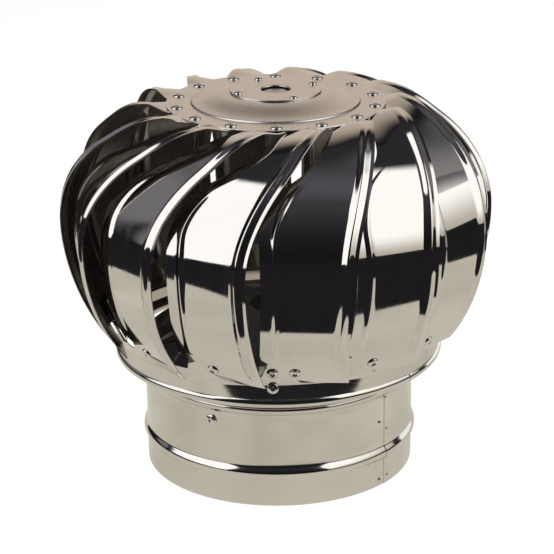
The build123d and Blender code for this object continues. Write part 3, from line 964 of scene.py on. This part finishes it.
@dataclass(frozen=True)
class BottomRing:
    """The head's lower ring: a rolled bead, an upright strip, a cone band, and a tab behind each foot."""

    ball: BladeBall
    slope: float = 0.44
    low_z: float = 69.4 * MM
    strip_z: float = 79.0 * MM
    band_z: float = 83.0 * MM
    tab_z: float = 92.0 * MM
    bead_r: float = 3.0 * MM
    bead_drop: float = 0.7
    bead_inset: float = 0.62
    to_blade: float = 1.9 * MM
    tab_arc: float = 18.0
    tab_shift: float = -0.5
    tab_round: float = 1.3
    columns: int = 1120
    joint_bearing: float = 50.6
    joint_pinch: float = 0.16
    joint_width: float = 0.22
    bar_count: int = 2
    bar_turn: float = -7.02
    bar_rivet_z: tuple[float, float] = (76.1 * MM, 85.8 * MM)

    def radius(self, height: np.ndarray) -> np.ndarray:
        """Outside radius at a height: one radius up to the top of the strip, then the cone."""
        foot_r = self.ball.foot_spot()[0][0] - SHEET - self.to_blade
        return foot_r + (np.maximum(height, self.strip_z) - self.ball.foot_z) * self.slope

    def band(self) -> Form:
        """The strip and cone band: lines that stand upright, then lean out, and stop higher behind a foot.

        Returns:
            The band as a closed form, its top edge easing between the band and the tabs.
        """
        bearings = np.arange(self.columns) * 360.0 / self.columns
        foot = self.ball.first_azimuth + 90.0 + self.tab_shift
        pitch = self.ball.pitch()
        off = np.abs((bearings - foot + pitch / 2) % pitch - pitch / 2)
        rise = ease((self.tab_arc / 2 + self.tab_round - off) / (2 * self.tab_round))
        top = self.band_z + (self.tab_z - self.band_z) * rise
        strip = np.linspace(self.low_z, self.strip_z, 5)[:, None] + np.zeros(len(bearings))
        share = np.linspace(0.06, 1.0, 7)[:, None]
        height = np.concatenate([strip, self.strip_z + (top[None, :] - self.strip_z) * share])
        outer = self.radius(height)
        levels = np.concatenate([height, height[::-1]])
        return ring_form(np.concatenate([outer, (outer - SHEET)[::-1]]), levels, bearings, levels)

    def bead(self) -> Form:
        """The rolled bead: a round tube about the shaft, pinched where its two ends meet."""
        centre_z = self.low_z - self.bead_drop * self.bead_r
        centre_r = float(self.radius(np.array(centre_z))) - self.bead_inset * self.bead_r
        around = np.radians(np.arange(36) * 10.0)[:, None]
        joint = self.joint_bearing + np.linspace(-0.6, 0.6, 9)
        bearings = np.sort(np.concatenate([np.arange(0.0, 360.0, 1.5), joint]))
        pinch = 1.0 - self.joint_pinch * np.exp(-((bearings - self.joint_bearing) / self.joint_width) ** 2)
        radius = centre_r + self.bead_r * np.cos(around) * pinch
        height = centre_z + self.bead_r * np.sin(around) * pinch
        return ring_form(radius, height, bearings, around * self.bead_r)

    def rivet_spots(self) -> Spots:
        """Places of the rivets that hold the cross bar."""
        spots = []
        for number in range(self.bar_count):
            azimuth = self.ball.first_azimuth + self.bar_turn + number * 360.0 / self.bar_count
            for height in self.bar_rivet_z:
                out = np.array([1.0, 0.0, -self.slope if height > self.strip_z else 0.0])
                spot = np.array([float(self.radius(np.array(height))) + FIT_GAP, 0.0, height])
                spots.append((turned(spot, azimuth), turned(out, azimuth)))
        return spots

    def build(self, shop: Workshop) -> None:
        """Makes the ring and its rivets."""
        ring = Form.joined([self.band(), self.bead()])
        shop.piece("rolled_bottom_ring", ring, BRIGHT_RING, Body.HEAD, Slot.RING, "bottom_ring")
        shop.piece("cross_bar_rivet_heads", RivetHead().on(self.rivet_spots()), RIVET_METAL, Body.HEAD,
                   Slot.RIVETS, "cross_bar_rivets")


@dataclass(frozen=True)
class TopPlate:
    """The round plate over the blades, its raised middle, the bearing cover and their rivets."""

    ball: BladeBall
    rim_r: float = 60.0 * MM
    rivet_r: float = 54.7 * MM
    rivet_azimuth: float = -89.9
    dome_r: float = 46.5 * MM
    step_w: float = 1.0 * MM
    step_rise: float = 0.9 * MM
    dome_rise: float = 5.8 * MM
    crown_r: float = 25.5 * MM
    dome_swell: float = 0.6
    edge: float = 0.15 * MM
    hole_r: float = 20.0 * MM
    cover_r: float = 25.0 * MM
    cover_hole_r: float = 8.0 * MM
    cover_t: float = 0.8 * MM
    cover_soft: float = 0.25 * MM
    cover_rivet_r: float = 22.4 * MM
    cover_rivet_count: int = 4
    cover_rivet_azimuth: float = 25.0
    cover_rivet_head_r: float = 2.15 * MM

    def plate_z(self) -> float:
        """Height of the plate's underside at its rim."""
        return self.ball.ball_z + self.ball.shoulder_r + SHEET / 2 + SEAT_GAP

    def cover_z(self) -> float:
        """Height of the cover's underside."""
        return self.plate_z() + self.dome_rise + SHEET + SEAT_GAP

    def plate(self) -> Form:
        """The plate: a flat rim, an eased step, then a rise to the crown, part straight and part eased.

        Returns:
            The plate as a closed form.
        """
        rim = np.array([self.rim_r, self.rim_r - self.edge, self.rim_r - 2 * MM, self.dome_r + 2 * MM])
        foot_r = self.dome_r - self.step_w
        step = np.linspace(self.dome_r, foot_r, 9)
        dome = np.linspace(foot_r, self.crown_r, 33)[1:]
        radius = np.concatenate([rim, step, dome, [self.hole_r + self.edge, self.hole_r]])
        share = np.clip((radius - self.crown_r) / (foot_r - self.crown_r), 0.0, 1.0)
        rise = (1.0 - self.dome_swell) * (1.0 - share) + self.dome_swell * (1.0 - ease(share))
        height = self.step_rise * ease((self.dome_r - radius) / self.step_w)
        height = height + (self.dome_rise - self.step_rise) * rise + self.plate_z() + SHEET
        height[[0, -1]] -= self.edge
        top = np.stack([radius, height], axis=1)
        under = top - np.array([0.0, SHEET])
        under[[0, -1], 1] += self.edge
        return revolved(np.concatenate([top, under[::-1]]), np.arange(288) * 1.25)

    def cover(self) -> Form:
        """The bearing cover: a disc with rounded edges and a rim turned down round its hole."""
        low = self.cover_z()
        top = low + self.cover_t
        soft = self.cover_soft
        turn = np.radians(np.linspace(0.0, 90.0, 6))
        outer_r = self.cover_r - soft + soft * np.cos(turn)
        outer = np.stack([outer_r, top - soft + soft * np.sin(turn)], axis=1)
        lip = np.stack([self.cover_hole_r + 3 * soft - 3 * soft * np.sin(turn),
                        top - 2 * soft + 2 * soft * np.cos(turn)], axis=1)
        ends = np.array([[self.cover_hole_r, low], [self.cover_r, low]])
        middle_r = np.linspace(self.cover_r - 1.0 * MM, self.cover_hole_r + 1.5 * MM, 8)
        middle = np.stack([middle_r, np.full(8, top)], axis=1)
        return revolved(np.concatenate([outer, middle, lip, ends]), np.arange(192) * 1.875)

    def rivet_spots(self, radius: float, azimuth: float, count: int, height: float) -> Spots:
        """Places of upright rivets on a circle.

        Args:
            radius: Circle's radius.
            azimuth: First rivet's azimuth in degrees from +X.
            count: Number of rivets.
            height: Height they stand at.

        Returns:
            Place and direction of each.
        """
        up = np.array([0.0, 0.0, 1.0])
        first = np.array([radius, 0.0, height])
        return [(turned(first, azimuth + number * 360.0 / count), up) for number in range(count)]

    def build(self, shop: Workshop) -> None:
        """Makes the plate, the cover and their rivets."""
        shop.piece("crowned_top_plate", self.plate(), SATIN_PLATE, Body.HEAD, Slot.PLATE, "top_plate")
        shop.piece("hub_cover", self.cover(), SATIN_PLATE, Body.HEAD, Slot.PLATE, "bearing_cover")
        rim = self.rivet_spots(self.rivet_r, self.rivet_azimuth, self.ball.count,
                               self.plate_z() + SHEET + FIT_GAP)
        shop.piece("rim_rivets", RivetHead().on(rim), RIVET_METAL, Body.HEAD, Slot.RIVETS, "top_rivets")
        hub = self.rivet_spots(self.cover_rivet_r, self.cover_rivet_azimuth, self.cover_rivet_count,
                               self.cover_z() + self.cover_t + FIT_GAP)
        heads = RivetHead(self.cover_rivet_head_r).on(hub)
        shop.piece("hub_rivets", heads, RIVET_METAL, Body.HEAD, Slot.RIVETS, "cover_rivets")


@dataclass(frozen=True)
class InnerWorks:
    """The spindle, bearings and straps inside, which keep their CAD forms."""

    straps: tuple[str, ...] = ("base_spider", "cross_bar", "bearing_housing")
    spindle: tuple[str, ...] = ("shaft", "shaft_washer", "shaft_nut", "top_nut", "shaft_spacer")
    bearing: tuple[str, ...] = ("bearing_inner_rings", "bearing_outer_rings")

    def build(self, shop: Workshop) -> None:
        """Dresses the nodes that stay."""
        groups = ((self.straps, STRAP_STEEL), (self.spindle, TURNED_STEEL), (self.bearing, GROUND_STEEL))
        for nodes, finish in groups:
            for node in nodes:
                shop.dress(node, finish)


@dataclass(frozen=True)
class Card:
    """A flat studio card that only reflections see.

    Attributes:
        name: Card's name.
        low: Its two lower corners.
        high: Its two upper corners, above the lower ones in the same order.
        glow: Linear colour it shows.
        soft: Share of its width, then of its height, over which each side fades: first, second, low, high.
        dim: Linear colour that it fades to.
    """

    name: str
    low: tuple[Triple, Triple]
    high: tuple[Triple, Triple]
    glow: Triple
    soft: tuple[float, float, float, float] = (0.0, 0.0, 0.0, 0.0)
    dim: Triple = (0.013, 0.012, 0.014)

    def grid(self) -> tuple[np.ndarray, np.ndarray]:
        """The card between its corners: each point is the corners' average weighted by its two shares.

        Returns:
            Points, shape (rows, columns, 3), and shares, shape (rows, columns, 2).
        """
        side, rise = np.meshgrid(np.linspace(0.0, 1.0, 9), np.linspace(0.0, 1.0, 9))
        low = np.array(self.low[0]) * (1 - side[..., None]) + np.array(self.low[1]) * side[..., None]
        high = np.array(self.high[0]) * (1 - side[..., None]) + np.array(self.high[1]) * side[..., None]
        return low * (1 - rise[..., None]) + high * rise[..., None], np.stack([side, rise], axis=-1)


def upright_card(name: str, feet: tuple[tuple[float, float], tuple[float, float]], span: tuple[float, float],
                 glow: Triple, *fades: tuple) -> Card:
    """A card that stands straight up.

    Args:
        name: Card's name.
        feet: Place on the floor plan of its two sides.
        span: Heights of its lower and upper edges.
        glow: Linear colour it shows.
        fades: Its soft shares and the colour it fades to, where they aren't the usual ones.

    Returns:
        The card.
    """
    low, high = (tuple((*foot, height) for foot in feet) for height in span)
    return Card(name, low, high, glow, *fades)


STUDIO_CARDS = (
    Card("softbox_left", ((-0.56, -0.62, 0.14), (-0.61, 0.08, 0.14)),
         ((-0.28, -0.60, 1.25), (-0.30, 0.12, 1.25)),
         (1.32, 1.32, 1.33), (0.04, 0.10, 0.01, 0.03), (0.05, 0.05, 0.055)),
    Card("softbox_right", ((0.557, -0.715, 0.40), (0.594, 0.155, 0.40)),
         ((0.42, -0.70, 1.25), (0.48, 0.14, 1.25)),
         (1.32, 1.32, 1.30), (0.04, 0.16, 0.0, 0.03), (0.12, 0.12, 0.13)),
    Card("softbox_right_foot", ((0.60, -0.72, 0.13), (0.63, 0.16, 0.13)),
         ((0.557, -0.715, 0.40), (0.594, 0.155, 0.40)),
         (1.32, 1.32, 1.30), (0.0, 0.0, 1.0, 0.0), (0.60, 0.56, 0.48)),
    upright_card("warm_backdrop", ((-0.56, 1.1), (0.68, 1.1)), (0.0, 2.4),
                 (0.645, 0.555, 0.475), (0.28, 0.28, 0.0, 0.72)),
    upright_card("grey_wall_left", ((-0.93, 0.20), (-0.47, 0.88)), (0.14, 1.10),
                 (0.20, 0.195, 0.215), (0.05, 0.35, 0.05, 0.35)),
    upright_card("grey_wall_right", ((0.95, 0.12), (0.50, 0.87)), (0.30, 1.30),
                 (0.30, 0.295, 0.30), (0.0, 0.95, 0.10, 0.30)),
    upright_card("white_board_low", ((0.52, 0.20), (0.25, 0.386)), (0.0, 0.21),
                 (1.10, 1.10, 1.10), (0.05, 0.05, 0.0, 0.10)),
    upright_card("haze_front", ((-1.0, -1.2), (1.0, -1.2)), (0.2, 2.5),
                 (0.050, 0.049, 0.056), (0.1, 0.1, 0.95, 0.0), (0.010, 0.0095, 0.0105)),
    Card("ceiling_haze", ((-1.3, -1.69, 2.58), (1.3, -1.69, 2.58)), ((-1.3, 0.9, 2.58), (1.3, 0.9, 2.58)),
         (0.10, 0.098, 0.112), (0.5, 0.5, 0.5, 0.5), (0.027, 0.026, 0.03)),
)


@dataclass(frozen=True)
class Studio:
    """Camera, floor, world and cards."""

    lens: float = 128.11
    sensor: float = 36.0
    eye: Triple = (-0.00041, -1.04084, 0.48424)
    pitch_deg: float = 20.02
    roll_deg: float = 0.63
    floor_half: float = 4.0
    table_front: float = -0.203
    table_slant: float = 0.16
    table_side: float = 0.395
    table_low_glow: Triple = (0.46, 0.435, 0.38)
    table_high_glow: Triple = (0.78, 0.745, 0.655)
    dark_glow: Triple = (0.013, 0.012, 0.014)
    ceiling_glow: Triple = (0.027, 0.026, 0.03)
    neck_r: float = 75.6 * MM
    table_soft: float = 0.004
    table_scale: float = 9.0
    floor_paint: float = 0.30
    floor_lift: float = 0.93
    floor_drop: float = 0.1 * MM
    world_light: float = 0.6
    room_half: float = 1.7
    room_height: float = 2.6

    def camera(self) -> None:
        """Places the camera at the photograph's view: pitched down, with a slight roll."""
        data = bpy.data.cameras.new("camera")
        data.lens = self.lens
        data.sensor_width = self.sensor
        pitch = math.radians(self.pitch_deg)
        roll = math.radians(self.roll_deg)
        right = Vector((1.0, 0.0, 0.0))
        rise = Vector((0.0, math.sin(pitch), math.cos(pitch)))
        back = Vector((0.0, -math.cos(pitch), math.sin(pitch)))
        x_axis = right * math.cos(roll) - rise * math.sin(roll)
        y_axis = right * math.sin(roll) + rise * math.cos(roll)
        place = Matrix((x_axis, y_axis, back)).transposed().to_4x4()
        place.translation = Vector(self.eye)
        camera = bpy.data.objects.new("camera", data)
        bpy.context.scene.collection.objects.link(camera)
        camera.matrix_world = place
        bpy.context.scene.camera = camera

    def world(self) -> None:
        """A white world for what the camera and the metal see, and a softer one as light."""
        world = bpy.data.worlds.new("studio_white")
        world.use_nodes = True
        world.node_tree.nodes.clear()
        pad = NodePad(world.node_tree)
        path = pad.add("ShaderNodeLightPath")
        seen = pad.math("MAXIMUM", path.outputs["Is Camera Ray"], path.outputs["Is Glossy Ray"])
        seen = pad.math("MAXIMUM", seen, path.outputs["Is Transmission Ray"])
        strength = pad.math("MULTIPLY_ADD", seen, 1.0 - self.world_light, self.world_light)
        background = pad.add("ShaderNodeBackground", {"Color": (1.0, 1.0, 1.0, 1.0)})
        pad.link(strength, background.inputs["Strength"])
        pad.end(background.outputs[0], "ShaderNodeOutputWorld")
        bpy.context.scene.world = world

    def stage_mesh(self, name: str, points: np.ndarray, flat: np.ndarray, material: bpy.types.Material,
                   shown: bool) -> bpy.types.Object:
        """A stage object from a grid of points.

        Args:
            name: Object's name.
            points: Grid, shape (rows, columns, 3).
            flat: Shares across the grid, shape (rows, columns, 2).
            material: Its material.
            shown: Whether the camera sees it.

        Returns:
            The new object.
        """
        rows, cols = points.shape[:2]
        quads = grid_quads(rows, cols, False, False)
        mesh = bpy.data.meshes.new(name)
        mesh.from_pydata(points.reshape(-1, 3), [], quads)
        layer = mesh.uv_layers.new(name="flat")
        layer.uv.foreach_set("vector", flat.reshape(-1, 2)[quads.ravel()].astype(np.float32).ravel())
        mesh.materials.append(material)
        thing = bpy.data.objects.new(name, mesh)
        bpy.context.scene.collection.objects.link(thing)
        thing.visible_camera = shown
        return thing

    def card_material(self, card: Card) -> bpy.types.Material:
        """The card's glow, which fades to its dim colour along its soft sides."""
        material, pad = new_material(card.name)
        split = pad.add("ShaderNodeSeparateXYZ")
        pad.link(pad.add("ShaderNodeTexCoord").outputs["UV"], split.inputs[0])
        level = None
        for number, soft in enumerate(card.soft):
            if soft <= 0.0:
                continue
            axis, far = divmod(number, 2)
            low, high = (1.0, 1.0 - soft) if far else (0.0, soft)
            fade = pad.ramp(split.outputs[axis], low, high)
            level = fade if level is None else pad.math("MULTIPLY", level, fade)
        glow = pad.add("ShaderNodeEmission", {"Color": (*card.glow, 1.0)})
        if level is not None:
            pad.link(pad.blend(level, card.dim, card.glow), glow.inputs["Color"])
        pad.end(glow.outputs[0])
        return material

    def card(self, card: Card) -> None:
        """Makes one card."""
        points, shares = card.grid()
        self.stage_mesh(card.name, points, shares, self.card_material(card), False)

    def room(self) -> None:
        """The dark room beyond the cards: four walls and a ceiling that only reflections see."""
        half, top = self.room_half, self.room_height
        ring = ((-half, -half), (half, -half), (half, half), (-half, half))
        for number, (start, end) in enumerate(zip(ring, ring[1:] + ring[:1])):
            self.card(upright_card(f"room_wall_{number + 1}", (start, end), (-MM, top), self.dark_glow))
        corners = [(*corner, top) for corner in ring]
        self.card(Card("room_ceiling", (corners[0], corners[1]), (corners[3], corners[2]), self.ceiling_glow))

    def floor(self) -> None:
        """A plain white floor that keeps a soft shadow; the metal sees a pale table top on dark ground, and
        painted shade where the table is dark inside the neck.
        """
        material, pad = new_material("studio_floor")
        split = pad.add("ShaderNodeSeparateXYZ")
        place = pad.add("ShaderNodeTexCoord").outputs["Object"]
        pad.link(place, split.inputs[0])
        slant = pad.math("MULTIPLY_ADD", split.outputs["X"], -self.table_slant, split.outputs["Y"])
        soft = self.table_soft
        front = pad.ramp(slant, self.table_front - soft, self.table_front + soft)
        wide = pad.math("ABSOLUTE", split.outputs["X"])
        side = pad.ramp(wide, self.table_side + soft, self.table_side - soft)
        flat = pad.add("ShaderNodeCombineXYZ")
        pad.link(split.outputs["X"], flat.inputs["X"])
        pad.link(split.outputs["Y"], flat.inputs["Y"])
        away = pad.add("ShaderNodeVectorMath", operation="LENGTH")
        pad.link(flat.outputs[0], away.inputs[0])
        # Painted shade: inside the collar's neck the table that the metal sees is dark.
        outside = pad.ramp(away.outputs["Value"], self.neck_r - MM, self.neck_r)
        on_table = pad.math("MULTIPLY", pad.math("MULTIPLY", front, side), outside)
        tone = pad.blend(pad.noise(place, self.table_scale, 1.0), self.table_low_glow, self.table_high_glow)
        table = pad.add("ShaderNodeEmission")
        pad.link(pad.blend(on_table, self.dark_glow, tone), table.inputs["Color"])
        white = pad.add("ShaderNodeBsdfDiffuse", {"Color": (*[self.floor_paint] * 3, 1.0)})
        lift = pad.add("ShaderNodeEmission", {"Color": (1.0, 1.0, 1.0, 1.0), "Strength": self.floor_lift})
        both = pad.add("ShaderNodeAddShader")
        pad.link(white.outputs[0], both.inputs[0])
        pad.link(lift.outputs[0], both.inputs[1])
        choose = pad.add("ShaderNodeMixShader")
        pad.link(pad.add("ShaderNodeLightPath").outputs["Is Glossy Ray"], choose.inputs[0])
        pad.link(both.outputs[0], choose.inputs[1])
        pad.link(table.outputs[0], choose.inputs[2])
        pad.end(choose.outputs[0])
        span = np.linspace(-self.floor_half, self.floor_half, 2)
        x, y = np.meshgrid(span, span)
        points = np.stack([x, y, np.full_like(x, -self.floor_drop)], axis=-1)
        self.stage_mesh("floor", points, np.stack([x, y], axis=-1), material, True)

    def build(self) -> None:
        """Sets up the whole studio."""
        self.camera()
        self.world()
        self.floor()
        self.room()
        for card in STUDIO_CARDS:
            self.card(card)
        bpy.context.scene.view_settings.view_transform = "Standard"


def main() -> None:
    """Builds every sub-assembly, then the studio."""
    logging.basicConfig(level=logging.INFO, format="%(message)s")
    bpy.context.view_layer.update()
    shop = Workshop()
    ball = BladeBall()
    for part in (Collar(), ball, BottomRing(ball), TopPlate(ball), InnerWorks()):
        part.build(shop)
    Studio().build()


if __name__ == "__main__":
    main()
